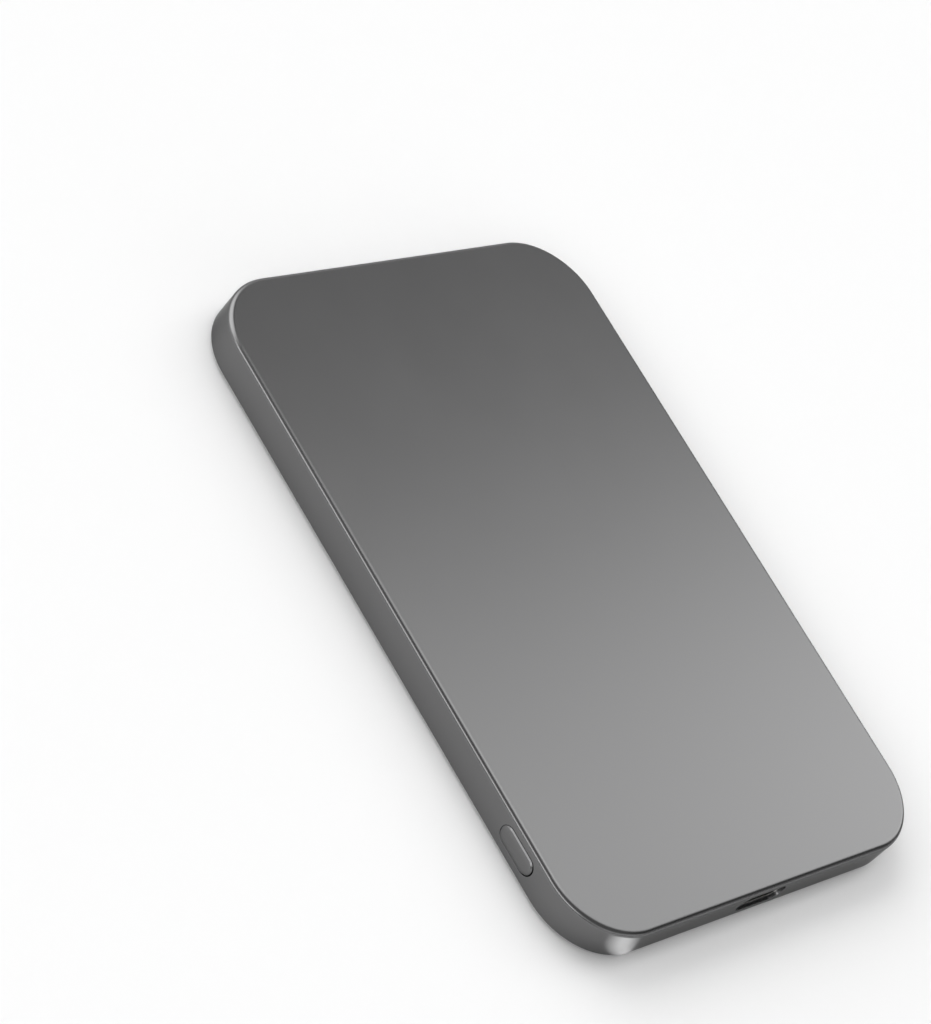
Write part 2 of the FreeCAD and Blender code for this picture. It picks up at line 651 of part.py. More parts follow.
# Main board: follows the frame's round corners, notched for the socket and the switch
board = new_body("main_board")
outline = sketch_on(board, "outline", "XY", BOARD_LOW)
rounded_rectangle(outline, *BOARD)
form = pad(outline, "board_thick")
upper = sketch_on(board, "cut_off", "XY", BOARD_TOP)
rectangle(upper, f"-{BOARD[0]}", BOARD[0], BOARD_END, BOARD[1])
form = pocket(upper, "board_thick")
notch = sketch_on(board, "socket_notch", "XY", BOARD_TOP)
half_w = "(socket_width / 2 + fit_gap)"
rectangle(notch, f"-{half_w}", half_w, "-length / 2", f"{SOCKET_BACK} + fit_gap")
form = pocket(notch, "board_thick")
notch = sketch_on(board, "switch_notch", "XY", BOARD_TOP, ("0", KEY_Y))
half_l = "(switch_length / 2 + fit_gap)"
rectangle(notch, "-width / 2", f"{SWITCH_BACK} + fit_gap", f"-{half_l}", half_l)
form = pocket(notch, "board_thick")
for number, place in enumerate(BOSSES, start=1):
    hole = sketch_on(board, f"screw_hole_{number}", "XY", BOARD_TOP, place)
    circle(hole, "(screw_radius + fit_gap)")
    form = pocket(hole, "board_thick")
parts.append(board)

# Board screws: pan heads under the board, shanks in the frame's bosses
for number, place in enumerate(BOSSES, start=1):
    screw = new_body(f"board_screw_{number}")
    shank = sketch_on(screw, "shank", "XY", BOARD_LOW, place)
    circle(shank, "screw_radius")
    form = pad(shank, "board_thick + screw_reach")
    head = sketch_on(screw, "head", "XY", BOARD_LOW, place)
    circle(head, "screw_head_radius")
    pad(head, "screw_head_height", reverse=True)
    parts.append(screw)

# Charging socket: a drawn steel sleeve with four soldering legs, open to the outside
sleeve = new_body("socket_shell")
tube = sketch_on(sleeve, "tube", "XZ", f"-{SOCKET_FRONT}", ("0", "socket_z"))
obround(tube, "socket_width", "socket_height")
obround(tube, "(socket_width - 2 * socket_wall)", "(socket_height - 2 * socket_wall)")
form = pad(tube, "socket_depth", reverse=True)
legs = sketch_on(sleeve, "legs", "XY", BOARD_TOP)
for number in range(2):
    middle = f"({BOARD_FOOT} + fit_gap + leg_width / 2 + {number} * leg_pitch)"
    for side in ("-", ""):
        rectangle(
            legs, f"{side}(socket_width / 2 - socket_wall)", f"{side}(socket_width / 2 + leg_reach)",
            f"{middle} - leg_width / 2", f"{middle} + leg_width / 2",
        )
form = pad(legs, "leg_thick")
parts.append(sleeve)

# Tongue: the moulded insulator that closes the sleeve at the back and carries the contacts
tongue = new_body("socket_tongue")
base = sketch_on(tongue, "base", "XZ", f"-{BASE_FRONT}", ("0", "socket_z"))
inner = "(2 * socket_wall + fit_gap)"
obround(base, f"(socket_width - {inner})", f"(socket_height - {inner})")
form = pad(base, "socket_base", reverse=True)
blade = sketch_on(tongue, "blade", "XZ", f"-{TONGUE_FRONT}", ("0", "socket_z"))
half_w, half_h = "tongue_width / 2", "tongue_thick / 2"
rectangle(blade, f"-{half_w}", half_w, f"-{half_h}", half_h)
form = pad(blade, f"{BASE_FRONT} - {TONGUE_FRONT}", reverse=True)
low, high = value("socket_z - tongue_thick / 2"), value("socket_z + tongue_thick / 2")
for side in (-1, 1):
    edge = side * value("tongue_width / 2")
    form = soften(
        form, f"corner_{'left' if side < 0 else 'right'}", "tongue_corner",
        x=(edge, edge), y=flat(TONGUE_FRONT), z=(low, high),
    )
parts.append(tongue)

# Contacts: two rows of thin gilt strips on the tongue
contacts = new_body("socket_contacts")
strip = sketch_on(contacts, "strip", "XY", "socket_z + tongue_thick / 2")
first_x = "(-(contact_count - 1) * contact_pitch / 2)"
start_y = f"({TONGUE_FRONT} + contact_setback)"
rectangle(
    strip, f"{first_x} - contact_width / 2", f"{first_x} + contact_width / 2",
    start_y, f"{start_y} + contact_length",
)
one_strip = pad(strip, "contact_thick")
under = sketch_on(contacts, "strip_under", "XY", "socket_z - tongue_thick / 2")
rectangle(
    under, f"{first_x} - contact_width / 2", f"{first_x} + contact_width / 2",
    start_y, f"{start_y} + contact_length",
)
other_strip = pad(under, "contact_thick", reverse=True)
strip_rows = contacts.newObject("PartDesign::LinearPattern", "socket_contacts_rows")
strip_rows.Originals = [one_strip, other_strip]
strip_rows.Direction = (origin_feature(contacts, "X_Axis"), [""])
strip_rows.setExpression("Length", bind("(contact_count - 1) * contact_pitch"))
strip_rows.setExpression("Occurrences", bind("contact_count"))
contacts.Tip = strip_rows
parts.append(contacts)

# Soldered parts on the board's front side
CHIP_ROW = f"({BOARD_FOOT} + board_length / 2)"
parts.append(block(
    "charge_chip", ("0", CHIP_ROW), ("charge_chip_size", "charge_chip_size", "chip_thick"), BOARD_TOP,
))
DRIVER_X = "(charge_chip_size / 2 + driver_chip_size / 2 + capacitor_pitch)"
parts.append(block(
    "driver_chip", (DRIVER_X, CHIP_ROW),
    ("driver_chip_size", "driver_chip_size", "chip_thick"), BOARD_TOP,
))
BRIDGE_X = f"({DRIVER_X} + driver_chip_size / 2 + transistor_size / 2 + capacitor_pitch)"
for number in range(4):
    column, row = number % 2, number // 2
    place = (
        f"({BRIDGE_X} + {column} * transistor_pitch)",
        f"({CHIP_ROW} + ({row} - 0.5) * transistor_pitch)",
    )
    parts.append(block(
        f"bridge_transistor_{number + 1}", place,
        ("transistor_size", "transistor_size", "transistor_thick"), BOARD_TOP,
    ))
for number in range(4):
    place = (
        f"(socket_width / 2 + leg_reach + ({number} + 0.7) * capacitor_pitch)",
        f"({BOARD_FOOT} + board_gap + capacitor_length / 2)",
    )
    parts.append(block(
        f"resonance_capacitor_{number + 1}", place,
        ("capacitor_width", "capacitor_length", "capacitor_thick"), BOARD_TOP,
    ))
inductor = new_body("power_inductor")
INDUCTOR_X = "(-charge_chip_size / 2 - inductor_size / 2 - capacitor_pitch)"
square = sketch_on(inductor, "square", "XY", BOARD_TOP, (INDUCTOR_X, CHIP_ROW))
rounded_rectangle(square, "inductor_size", "inductor_size", "inductor_corner")
pad(square, "inductor_thick")
parts.append(inductor)

# Battery cell: one sealed pouch with a flat terrace at the tab end and its side seams folded up
cell = new_body("battery_cell")
MAIN_FOOT = f"({CELL_FOOT} + terrace_depth)"
CELL_MIDDLE = f"(({MAIN_FOOT} + {CELL_END}) / 2)"
MAIN_WIDTH = f"({CELL_WIDTH} - 2 * cell_fold)"
pouch = sketch_on(cell, "pouch", "XY", CELL_LOW, ("0", CELL_MIDDLE))
rounded_rectangle(pouch, MAIN_WIDTH, f"({CELL_END} - {MAIN_FOOT})", "cell_corner")
form = pad(pouch, f"{CELL_TOP} - {CELL_LOW}")
form = soften(form, "front_edge", "cell_edge", "Chamfer", z=flat(CELL_TOP))
form = soften(form, "rear_edge", "cell_edge", "Chamfer", z=flat(CELL_LOW))
folds = sketch_on(cell, "folds", "XY", f"{CELL_LOW} + cell_edge", ("0", CELL_MIDDLE))
fold_half = f"(({CELL_END} - {MAIN_FOOT}) / 2 - cell_corner)"
for side in ("-", ""):
    rectangle(folds, f"{side}{MAIN_WIDTH} / 2", f"{side}{CELL_WIDTH} / 2", f"-{fold_half}", fold_half)
form = pad(folds, "cell_fold_height")
TERRACE_LOW = f"({BOARD_TOP} - terrace_thick / 2)"
terrace = sketch_on(cell, "terrace", "XY", TERRACE_LOW)
rectangle(
    terrace, f"-{MAIN_WIDTH} / 2 + cell_corner", f"{MAIN_WIDTH} / 2 - cell_corner",
    CELL_FOOT, f"{MAIN_FOOT} + cell_edge",
)
form = pad(terrace, "terrace_thick")
parts.append(cell)

# Tabs: nickel strips from the terrace through the rib onto the board
for name, side in (("plus", "-"), ("minus", "")):
    tab = new_body(f"battery_tab_{name}")
    strip = sketch_on(tab, "strip", "XY", BOARD_TOP, (f"{side}tab_spacing / 2", "0"))
    rectangle(strip, "-tab_width / 2", "tab_width / 2", f"{BOARD_END} - tab_overlap", CELL_FOOT)
    pad(strip, "tab_thick")
    parts.append(tab)

# Tapes: two double-sided strips that bond the cell to the inside of the face
for number, side in enumerate(("-", ""), start=1):
    parts.append(block(
        f"battery_tape_{number}", (f"{side}({CELL_WIDTH} / 2 - tape_inset)", CELL_MIDDLE),
        ("tape_width", "tape_length", "tape_thick"), CELL_TOP,
    ))

# Charging coil: a flat winding of ribbon wire, bonded into one ring between the cover's arc ribs
coil = new_body("charging_coil")
winding = sketch_on(coil, "winding", "XY", "cover_floor", ("0", RING_Y))
circle(winding, "coil_inner")
circle(winding, COIL_OUT)
pad(winding, "coil_thick")
parts.append(coil)

# Coil leads: both ends of the ribbon, laid along the cover and bent up to the board
for number, side in enumerate(("-", ""), start=1):
    lead = new_body(f"coil_lead_{number}")
    x = f"{side}{LEAD_X}"
    start = f"({RING_Y} - sqrt({COIL_OUT}^2 - {LEAD_X}^2) - 2 * fit_gap)"
    LEAD_Z = "(cover_floor + lead_thick / 2)"
    bend_y = f"({BOARD_END} - lead_bend)"
    section = sketch_on(lead, "section", "XZ", f"-{start}", (x, LEAD_Z))
    rectangle(section, "-lead_width / 2", "lead_width / 2", "-lead_thick / 2", "lead_thick / 2")
    path = sketch_on(lead, "path", "YZ", x)
    run, turn_z = value(bend_y), value(f"{LEAD_Z} + lead_bend")
    path.addGeometry(Part.LineSegment(
        FreeCAD.Vector(value(start), value(LEAD_Z), 0), FreeCAD.Vector(run, value(LEAD_Z), 0),
    ))
    bend = Part.Circle(FreeCAD.Vector(run, turn_z, 0), FreeCAD.Vector(0, 0, 1), value("lead_bend"))
    path.addGeometry(Part.ArcOfCircle(bend, math.pi, 3 * math.pi / 2))
    path.addGeometry(Part.LineSegment(
        FreeCAD.Vector(run - value("lead_bend"), turn_z, 0),
        FreeCAD.Vector(run - value("lead_bend"), value(BOARD_LOW), 0),
    ))
    path.addConstraint(Sketcher.Constraint("Horizontal", 0))
    path.addConstraint(Sketcher.Constraint("Tangent", 0, 2, 1, 2))
    path.addConstraint(Sketcher.Constraint("Tangent", 1, 1, 2, 1))
    path.addConstraint(Sketcher.Constraint("Vertical", 2))
    measure(path, Sketcher.Constraint("DistanceX", -1, 1, 0, 1, value(start)), start)
    measure(path, Sketcher.Constraint("DistanceY", -1, 1, 0, 1, value(LEAD_Z)), LEAD_Z)
    measure(path, Sketcher.Constraint("DistanceX", -1, 1, 0, 2, run), bend_y)
    measure(path, Sketcher.Constraint("Radius", 1, value("lead_bend")), "lead_bend")
    measure(path, Sketcher.Constraint("DistanceY", -1, 1, 2, 2, value(BOARD_LOW)), BOARD_LOW)
    doc.recompute()
    wire = lead.newObject("PartDesign::AdditivePipe", f"{lead.Name}_wire")
    wire.Profile = section
    wire.Spine = (path, ["Edge1", "Edge2", "Edge3"])
    doc.recompute()
    parts.append(lead)

# Ferrite disc over the coil, and the thin graphite sheet that spreads heat under the cell: it is as
# wide as the ring of magnets that it lies on
ferrite = new_body("ferrite_disc")
disc = sketch_on(ferrite, "disc", "XY", COIL_TOP, ("0", RING_Y))
circle(disc, "ferrite_radius")
pad(disc, "ferrite_thick")
parts.append(ferrite)
spreader = new_body("heat_spreader")
foil = sketch_on(spreader, "foil", "XY", SPREADER_LOW, ("0", CELL_MIDDLE))
rounded_rectangle(
    foil, f"(2 * {MAGNET_OUT} + 2 * spreader_side)",
    f"({CELL_END} - {MAIN_FOOT} - 2 * spreader_end)", "cell_corner",
)
pad(foil, "spreader_thick")
parts.append(spreader)

# Ring magnets: arc pieces in the cover's groove, open towards the socket where the leads pass
SECTOR = f"((360 - {RING_OPENING}) / magnet_count)"
for number in range(int(value("magnet_count"))):
    magnet = new_body(f"ring_magnet_{number + 1:02d}")
    arc = sketch_on(magnet, "arc", "XY", MAGNET_LOW)
    ring_sector(arc, MAGNET_IN, MAGNET_OUT, f"({SECTOR} - magnet_air)")
    pad(arc, "magnet_thick")
    turned = f"(({number} - (magnet_count - 1) / 2) * {SECTOR}) * 1.0 deg"
    magnet.setExpression("Placement.Base.y", bind(RING_Y))
    magnet.setExpression("Placement.Rotation.Angle", bind(turned))
    parts.append(magnet)

# Yoke: a steel ring laid on the magnets, with the same opening
yoke = new_body("ring_yoke")
plate = sketch_on(yoke, "plate", "XY", MAGNET_TOP, ("0", RING_Y))
circle(plate, MAGNET_IN)
circle(plate, MAGNET_OUT)
form = pad(plate, "yoke_thick")
gap = sketch_on(yoke, "opening", "XY", YOKE_TOP, ("0", RING_Y))
depth = f"{MAGNET_OUT} * 1.2"
side_x = f"{depth} * tan({RING_OPENING} / 2 * 1.0 deg)"
polygon(gap, [("0", "0"), (f"-{side_x}", f"-{depth}"), (side_x, f"-{depth}")])
form = pocket(gap, "yoke_thick")
parts.append(yoke)

# Alignment magnets: a short row on the centre line that keeps the bank from turning
for number in range(int(value("align_count"))):
    middle = f"({ALIGN_TOP} - align_length / 2 - {number} * {ALIGN_PITCH})"
    parts.append(block(
        f"alignment_magnet_{number + 1}", ("0", middle),
        ("align_width", "align_length", "magnet_thick"), MAGNET_LOW,
    ))

doc.recompute()
for item in doc.Objects:
    if "Invalid" in item.State or "Error" in item.State:
        raise RuntimeError(f"{item.Name} failed: {item.State}")
for part in parts:
    if part.Shape.isNull() or not part.Shape.isValid() or not part.Shape.Solids:
        raise RuntimeError(f"{part.Label} has no valid solid")

os.makedirs("parts", exist_ok=True)
for part in parts:
    part.Shape.exportStep(f"parts/{part.Label}.step")
print(f"{len(parts)} pieces written")
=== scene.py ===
import math

import bmesh
import bpy
from mathutils import Matrix, Vector


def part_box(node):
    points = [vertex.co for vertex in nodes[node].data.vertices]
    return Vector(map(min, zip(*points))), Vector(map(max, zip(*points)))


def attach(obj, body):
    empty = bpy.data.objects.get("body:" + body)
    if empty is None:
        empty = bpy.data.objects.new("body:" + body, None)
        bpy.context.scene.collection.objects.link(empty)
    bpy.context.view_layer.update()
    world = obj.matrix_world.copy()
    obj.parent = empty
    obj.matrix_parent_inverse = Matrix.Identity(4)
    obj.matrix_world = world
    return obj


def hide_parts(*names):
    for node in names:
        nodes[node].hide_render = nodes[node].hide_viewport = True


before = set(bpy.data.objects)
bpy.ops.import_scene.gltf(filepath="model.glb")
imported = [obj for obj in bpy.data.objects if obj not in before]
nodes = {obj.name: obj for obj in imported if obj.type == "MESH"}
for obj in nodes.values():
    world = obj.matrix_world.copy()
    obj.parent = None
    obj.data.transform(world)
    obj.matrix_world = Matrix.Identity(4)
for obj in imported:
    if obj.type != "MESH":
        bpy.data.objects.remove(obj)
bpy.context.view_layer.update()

# Front shell: the tray that makes the face and all four walls, milled from one aluminium plate, finely
# blasted and anodised a satin grey. Its front edge is rounded all round, its rear edge is rebated for
# the cover, and the button slot and the socket mouth are milled through its walls.
shell_corner = 10.6
shell_edge = 0.75
shell_foot_break = 0.12
shell_lip = 0.6
shell_rebate = 0.5
shell_wall = 1.1
shell_face = 0.7
slot_break = 0.03
mouth_gap = 0.05
mouth_chamfer = 0.06
to_mm, to_metres = 1000, 0.001

# How far a cutter runs out past the metal, and how closely edges are picked by their place.
overrun = 1
hair = 0.01


def corners_mm(node):
    """The lowest and highest corner of a solid of the frame, in millimetres."""
    low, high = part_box(node)
    return low * to_mm, high * to_mm


def clear_bench():
    """Close the piece that is open for shaping, and let go of everything."""
    if bpy.context.mode != "OBJECT":
        bpy.ops.object.mode_set(mode="OBJECT")
    bpy.ops.object.select_all(action="DESELECT")


def open_piece(piece):
    """Open one piece for shaping."""
    clear_bench()
    bpy.context.view_layer.objects.active = piece
    piece.select_set(True)
    bpy.ops.object.mode_set(mode="EDIT")


def rough_block(name, low, high):
    """A block between two corners, in millimetres, left open for shaping."""
    clear_bench()
    bpy.ops.mesh.primitive_cube_add(size=1)
    piece = bpy.context.object
    piece.name = piece.data.name = name
    bpy.ops.object.mode_set(mode="EDIT")
    bpy.ops.transform.resize(value=[b - a for a, b in zip(low, high)])
    bpy.ops.transform.translate(value=[(a + b) / 2 for a, b in zip(low, high)])
    return piece


def slot_bar(name, axis, low, high, sides=62):
    """A bar with round ends between two corners, in millimetres: it runs along the axis, X or Y, and
    its round ends lie left and right of it. It is left open for shaping."""
    middle = (low + high) / 2
    size = high - low
    turn = (0, math.pi / 2, 0) if axis == "X" else (-math.pi / 2, -math.pi / 2, 0)
    clear_bench()
    bpy.ops.mesh.primitive_cylinder_add(
        vertices=sides, radius=size.z / 2, depth=size["XY".index(axis)], location=middle, rotation=turn
    )
    bpy.ops.object.transform_apply(location=True, rotation=True, scale=True)
    piece = bpy.context.object
    piece.name = piece.data.name = name
    bpy.ops.object.mode_set(mode="EDIT")
    across = 1 if axis == "X" else 0
    for side in (-1, 1):
        take(piece, "VERT", lambda at: side * (at[across] - middle[across]) > 0)
        reach = [0, 0, 0]
        reach[across] = side * (size[across] - size.z) / 2
        bpy.ops.transform.translate(value=reach)
    return piece


def take(piece, kind, wanted, upright=None):
    """Select the corners, edges or faces whose points all pass a test, and nothing else. Edges can be
    narrowed to the upright ones, or to the others."""
    bpy.ops.mesh.select_mode(type=kind)
    bpy.ops.mesh.select_all(action="DESELECT")
    mesh = bmesh.from_edit_mesh(piece.data)
    if kind == "VERT":
        for corner in mesh.verts:
            corner.select = wanted(corner.co)
    else:
        for part in mesh.edges if kind == "EDGE" else mesh.faces:
            places = [corner.co for corner in part.verts]
            rises = abs(places[0].z - places[1].z) > hair
            part.select = upright in (None, rises) and all(wanted(place) for place in places)
    mesh.select_flush_mode()
    bmesh.update_edit_mesh(piece.data)


def round_off(offset, segments):
    """Round the edges that are selected."""
    bpy.ops.mesh.bevel(
        offset=offset, segments=segments, profile=0.5, affect="EDGES", clamp_overlap=False
    )


def pull_up(height):
    """Draw the selected faces upwards, and close the sides behind them."""
    bpy.ops.mesh.extrude_region_move(TRANSFORM_OT_translate={"value": (0, 0, height)})


def join_solid(piece, other, operation):
    """Cut the other solid out of the piece, or weld it on, and clear the other away."""
    clear_bench()
    bpy.context.view_layer.objects.active = piece
    step = piece.modifiers.new("joined", "BOOLEAN")
    step.operation = operation
    step.solver = "EXACT"
    step.object = other
    bpy.ops.object.modifier_apply(modifier=step.name)
    bpy.data.objects.remove(other)
    open_piece(piece)


def finish_mesh(piece, crease=30):
    """Bring a shaped piece from millimetres to its real size, with smooth rounds and true flats."""
    clear_bench()
    bpy.context.view_layer.objects.active = piece
    piece.select_set(True)
    piece.scale = (to_metres, to_metres, to_metres)
    bpy.ops.object.transform_apply(location=True, rotation=True, scale=True)
    bpy.ops.object.shade_smooth_by_angle(angle=math.radians(crease))
    even = piece.modifiers.new("even", "WEIGHTED_NORMAL")
    even.keep_sharp = True
    even.weight = 90
    bpy.ops.object.modifier_apply(modifier=even.name)


shell_low, shell_high = corners_mm("front_shell")
key_low, key_high = corners_mm("power_button")
sleeve_low, sleeve_high = corners_mm("socket_shell")
tongue_low, tongue_high = corners_mm("socket_tongue")
wall_inside = shell_low.x + shell_wall

shell = rough_block("front_shell_tray", shell_low, shell_high)
take(shell, "EDGE", lambda at: True, upright=True)
round_off(shell_corner, segments=40)
take(shell, "EDGE", lambda at: at.z > shell_high.z - hair)
round_off(shell_edge, segments=10)
take(shell, "EDGE", lambda at: at.z < shell_low.z + hair)
round_off(shell_foot_break, segments=3)
take(shell, "FACE", lambda at: at.z < shell_low.z + hair)
bpy.ops.mesh.inset(thickness=shell_lip - shell_foot_break)
pull_up(shell_rebate)
bpy.ops.mesh.inset(thickness=shell_wall - shell_lip)
pull_up(shell_high.z - shell_low.z - shell_face - shell_rebate)

# The key's own outline, without the flange behind the wall. The key hangs low and far in its slot, so
# the gap is widest above it and at its near end.
key_rim = 0.5
gap_near, gap_far = 0.2, 0.04
gap_below, gap_above = 0.02, 0.08
key_mid = (key_low + key_high) / 2
key_half = (key_high - key_low) / 2 - Vector((0, key_rim, key_rim))
slot_low = Vector((
    shell_low.x - overrun, key_mid.y - key_half.y - gap_near, key_mid.z - key_half.z - gap_below
))
slot_high = Vector((
    wall_inside + overrun / 2, key_mid.y + key_half.y + gap_far, key_mid.z + key_half.z + gap_above
))
join_solid(shell, slot_bar("slot_cut", "X", slot_low, slot_high), "DIFFERENCE")
take(shell, "EDGE", lambda at: (
    at.x < shell_low.x + hair
    and slot_low.y - hair < at.y < slot_high.y + hair and slot_low.z - hair < at.z < slot_high.z + hair
))
round_off(slot_break, segments=3)

sleeve_half = Vector((4.47, 0, 1.58))
sleeve_mid_z = (tongue_low.z + tongue_high.z) / 2
room = sleeve_half + Vector((mouth_gap, 0, mouth_gap))
mouth_low = Vector((-room.x, shell_low.y - overrun, sleeve_mid_z - room.z))
mouth_high = Vector((room.x, shell_low.y + shell_wall + overrun / 2, sleeve_mid_z + room.z))
join_solid(shell, slot_bar("mouth_cut", "Y", mouth_low, mouth_high), "DIFFERENCE")
take(shell, "EDGE", lambda at: (
    at.y < shell_low.y + hair
    and abs(at.x) < room.x + hair and abs(at.z - sleeve_mid_z) < room.z + hair
))
round_off(mouth_chamfer, segments=3)
finish_mesh(shell)
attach(shell, "case")
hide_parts("front_shell")

# Fine grain and soft patches, shared by every finish: the grain breaks up the gloss, the patches shift
# tone and gloss a little from place to place, as handling and anodising do.
surface_grain = bpy.data.node_groups.new("surface_grain", "ShaderNodeTree")
grain_inputs = {"Place": "NodeSocketVector", "Grain": "NodeSocketFloat", "Patch": "NodeSocketFloat"}
for socket_name, kind in grain_inputs.items():
    surface_grain.interface.new_socket(socket_name, in_out="INPUT", socket_type=kind)
for socket_name in ("Height", "Patches"):
    surface_grain.interface.new_socket(socket_name, in_out="OUTPUT", socket_type="NodeSocketFloat")
grain_in = surface_grain.nodes.new("NodeGroupInput")
grain_out = surface_grain.nodes.new("NodeGroupOutput")
for size_name, result, detail in (("Grain", "Height", 2.0), ("Patch", "Patches", 4.0)):
    scale = surface_grain.nodes.new("ShaderNodeMath")
    scale.operation = "DIVIDE"
    scale.inputs[0].default_value = 1.0
    noise = surface_grain.nodes.new("ShaderNodeTexNoise")
    noise.inputs["Detail"].default_value = detail
    surface_grain.links.new(grain_in.outputs[size_name], scale.inputs[1])
    surface_grain.links.new(grain_in.outputs["Place"], noise.inputs["Vector"])
    surface_grain.links.new(scale.outputs[0], noise.inputs["Scale"])
    surface_grain.links.new(noise.outputs["Fac"], grain_out.inputs[result])


def grained(
    name, colour, roughness, metallic=0.0, grain=0.0001, depth=0.000004, patch=0.012, shift=0.05
):
    """A finish broken up by grain of a given size and depth in metres, with patches that shift its tone,
    and its gloss twice as far."""
    finish = bpy.data.materials.new(name)
    finish.use_nodes = True
    tree = finish.node_tree
    shader = tree.nodes["Principled BSDF"]
    shader.inputs["Metallic"].default_value = metallic
    place = tree.nodes.new("ShaderNodeTexCoord")
    surface = tree.nodes.new("ShaderNodeGroup")
    surface.node_tree = surface_grain
    surface.inputs["Grain"].default_value = grain
    surface.inputs["Patch"].default_value = patch
    tree.links.new(place.outputs["Object"], surface.inputs["Place"])
    tone = tree.nodes.new("ShaderNodeMix")
    tone.name = "tone"
    tone.data_type = "RGBA"
    tone.inputs["A"].default_value = (*[c * (1 - shift) for c in colour], 1)
    tone.inputs["B"].default_value = (*[c * (1 + shift) for c in colour], 1)
    tree.links.new(surface.outputs["Patches"], tone.inputs["Factor"])
    tree.links.new(tone.outputs["Result"], shader.inputs["Base Color"])
    gloss = tree.nodes.new("ShaderNodeMapRange")
    gloss.inputs["To Min"].default_value = roughness * (1 - 2 * shift)
    gloss.inputs["To Max"].default_value = roughness * (1 + 2 * shift)
    tree.links.new(surface.outputs["Patches"], gloss.inputs["Value"])
    tree.links.new(gloss.outputs["Result"], shader.inputs["Roughness"])
    bump = tree.nodes.new("ShaderNodeBump")
    bump.inputs["Distance"].default_value = depth
    tree.links.new(surface.outputs["Height"], bump.inputs["Height"])
    tree.links.new(bump.outputs["Normal"], shader.inputs["Normal"])
    return finish


satin_aluminium = grained(
    "satin_anodised_aluminium", (0.17, 0.17, 0.171), 0.25,
    metallic=1.0, grain=0.0002, depth=0.00000015, shift=0.02,
)
# The dyed film swallows more light at a slant.
slant_tint = (0.5, 0.5, 0.5, 1)
satin_aluminium.node_tree.nodes["Principled BSDF"].inputs["Specular Tint"].default_value = slant_tint
shell.data.materials.append(satin_aluminium)

# Power button: a milled aluminium key, anodised like the shell, that stands just proud of the wall. A
# flange behind the wall keeps it in, and a nub on its back presses the switch.
key_bevel_in, key_bevel_out = 0.2, 0.15
key_crown = 0.35
flange_thick = 0.5
nub_half = Vector((0, 1.2, 0.675))
key = slot_bar(
    "power_button_key", "X",
    Vector((shell_low.x, key_mid.y - key_half.y, key_mid.z - key_half.z)),
    Vector((wall_inside + flange_thick / 2, key_mid.y + key_half.y, key_mid.z + key_half.z)),
)
take(key, "FACE", lambda at: at.x < shell_low.x + hair)
bpy.ops.mesh.inset(thickness=key_bevel_in, depth=key_bevel_out)
bpy.ops.mesh.inset(thickness=key_crown, depth=shell_low.x - key_low.x - key_bevel_out)
flange = slot_bar(
    "key_flange", "X",
    Vector((wall_inside, key_low.y, key_low.z)),
    Vector((wall_inside + flange_thick, key_high.y, key_high.z)),
)
join_solid(key, flange, "UNION")
nub = slot_bar(
    "key_nub", "X",
    Vector((wall_inside + flange_thick / 2, key_mid.y - nub_half.y, key_mid.z - nub_half.z)),
    Vector((key_high.x, key_mid.y + nub_half.y, key_mid.z + nub_half.z)),
)
join_solid(key, nub, "UNION")
finish_mesh(key, crease=12)
key_aluminium = grained(
    "satin_key_aluminium", (0.165, 0.165, 0.166), 0.25,
    metallic=1.0, grain=0.0002, depth=0.00000015, shift=0.02,
)
key_aluminium.node_tree.nodes["Principled BSDF"].inputs["Specular Tint"].default_value = slant_tint
key.data.materials.append(key_aluminium)
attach(key, "button")
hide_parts("power_button")


# Inner frame: one moulding of glass-filled nylon that lines the walls, parts the cell's bay from the
# board's and carries the board on its bosses. The bond ring of the cover holds it in the shell.
def dress(names, finish):
    """Give solids of the frame a finish in their own material slots."""
    for name in names:
        for place in nodes[name].material_slots:
            place.material = finish


dress(["inner_frame"], grained(
    "glass_filled_nylon", (0.12, 0.12, 0.125), 0.55,
    grain=0.0004, depth=0.000004, patch=0.02, shift=0.08,
))

# Main board: a glass-fibre laminate under green solder resist. Its copper tracks show through the
# resist as paler lines, and it is screwed to two bosses of the frame.
track_pitch = 1.1
track_run = 4.3
track_width = 0.12
resist_over_copper = (0.06, 0.19, 0.09, 1)
board_low, board_high = corners_mm("main_board")
laminate = grained(
    "green_solder_resist", (0.02, 0.09, 0.05), 0.3, grain=0.0006, depth=0.000003, shift=0.08
)
tree = laminate.node_tree
tracks = tree.nodes.new("ShaderNodeTexBrick")
tracks.inputs["Scale"].default_value = to_mm
tracks.inputs["Brick Width"].default_value = track_run
tracks.inputs["Row Height"].default_value = track_pitch
tracks.inputs["Mortar Size"].default_value = track_width
over_copper = tree.nodes.new("ShaderNodeMix")
over_copper.data_type = "RGBA"
over_copper.inputs["B"].default_value = resist_over_copper
tree.links.new(tree.nodes["Texture Coordinate"].outputs["Object"], tracks.inputs["Vector"])
tree.links.new(tracks.outputs["Fac"], over_copper.inputs["Factor"])
tree.links.new(tree.nodes["tone"].outputs["Result"], over_copper.inputs["A"])
tree.links.new(over_copper.outputs["Result"], tree.nodes["Principled BSDF"].inputs["Base Color"])
dress(["main_board"], laminate)

